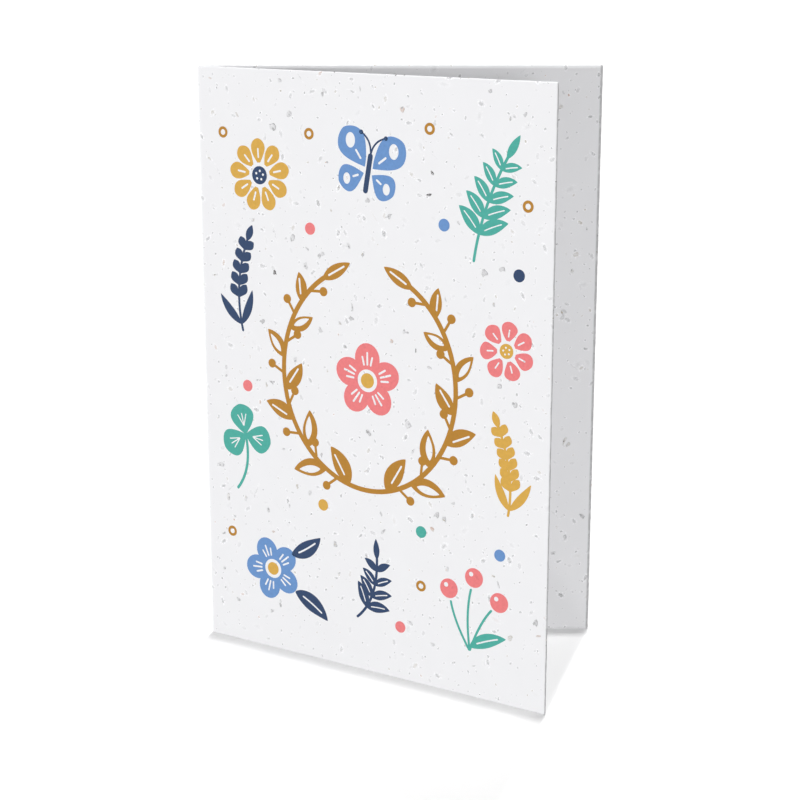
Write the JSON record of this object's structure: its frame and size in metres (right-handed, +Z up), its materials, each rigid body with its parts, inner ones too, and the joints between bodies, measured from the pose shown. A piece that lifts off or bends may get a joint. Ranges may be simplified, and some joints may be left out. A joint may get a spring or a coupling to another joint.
{
  "type": "greeting card",
  "caption": "Folded greeting card of thick plantable paper, scored and bent once along an upright fold, standing open on its lower edges.",
  "frame": {"origin": "under the middle of the standing card's bounding box, on the plane it stands on", "axes": "+Z up along the fold; +X from the fold along the line midway between the covers to their free edges; the front cover lies on the -Y side"},
  "size_m": [0.0967, 0.0588, 0.15],
  "materials": {
    "seed_paper": "matt, uncoated, with plant flecks"
  },
  "bodies": {
    "root": {"folded_card": "seed_paper"}
  },
  "joints": []
}
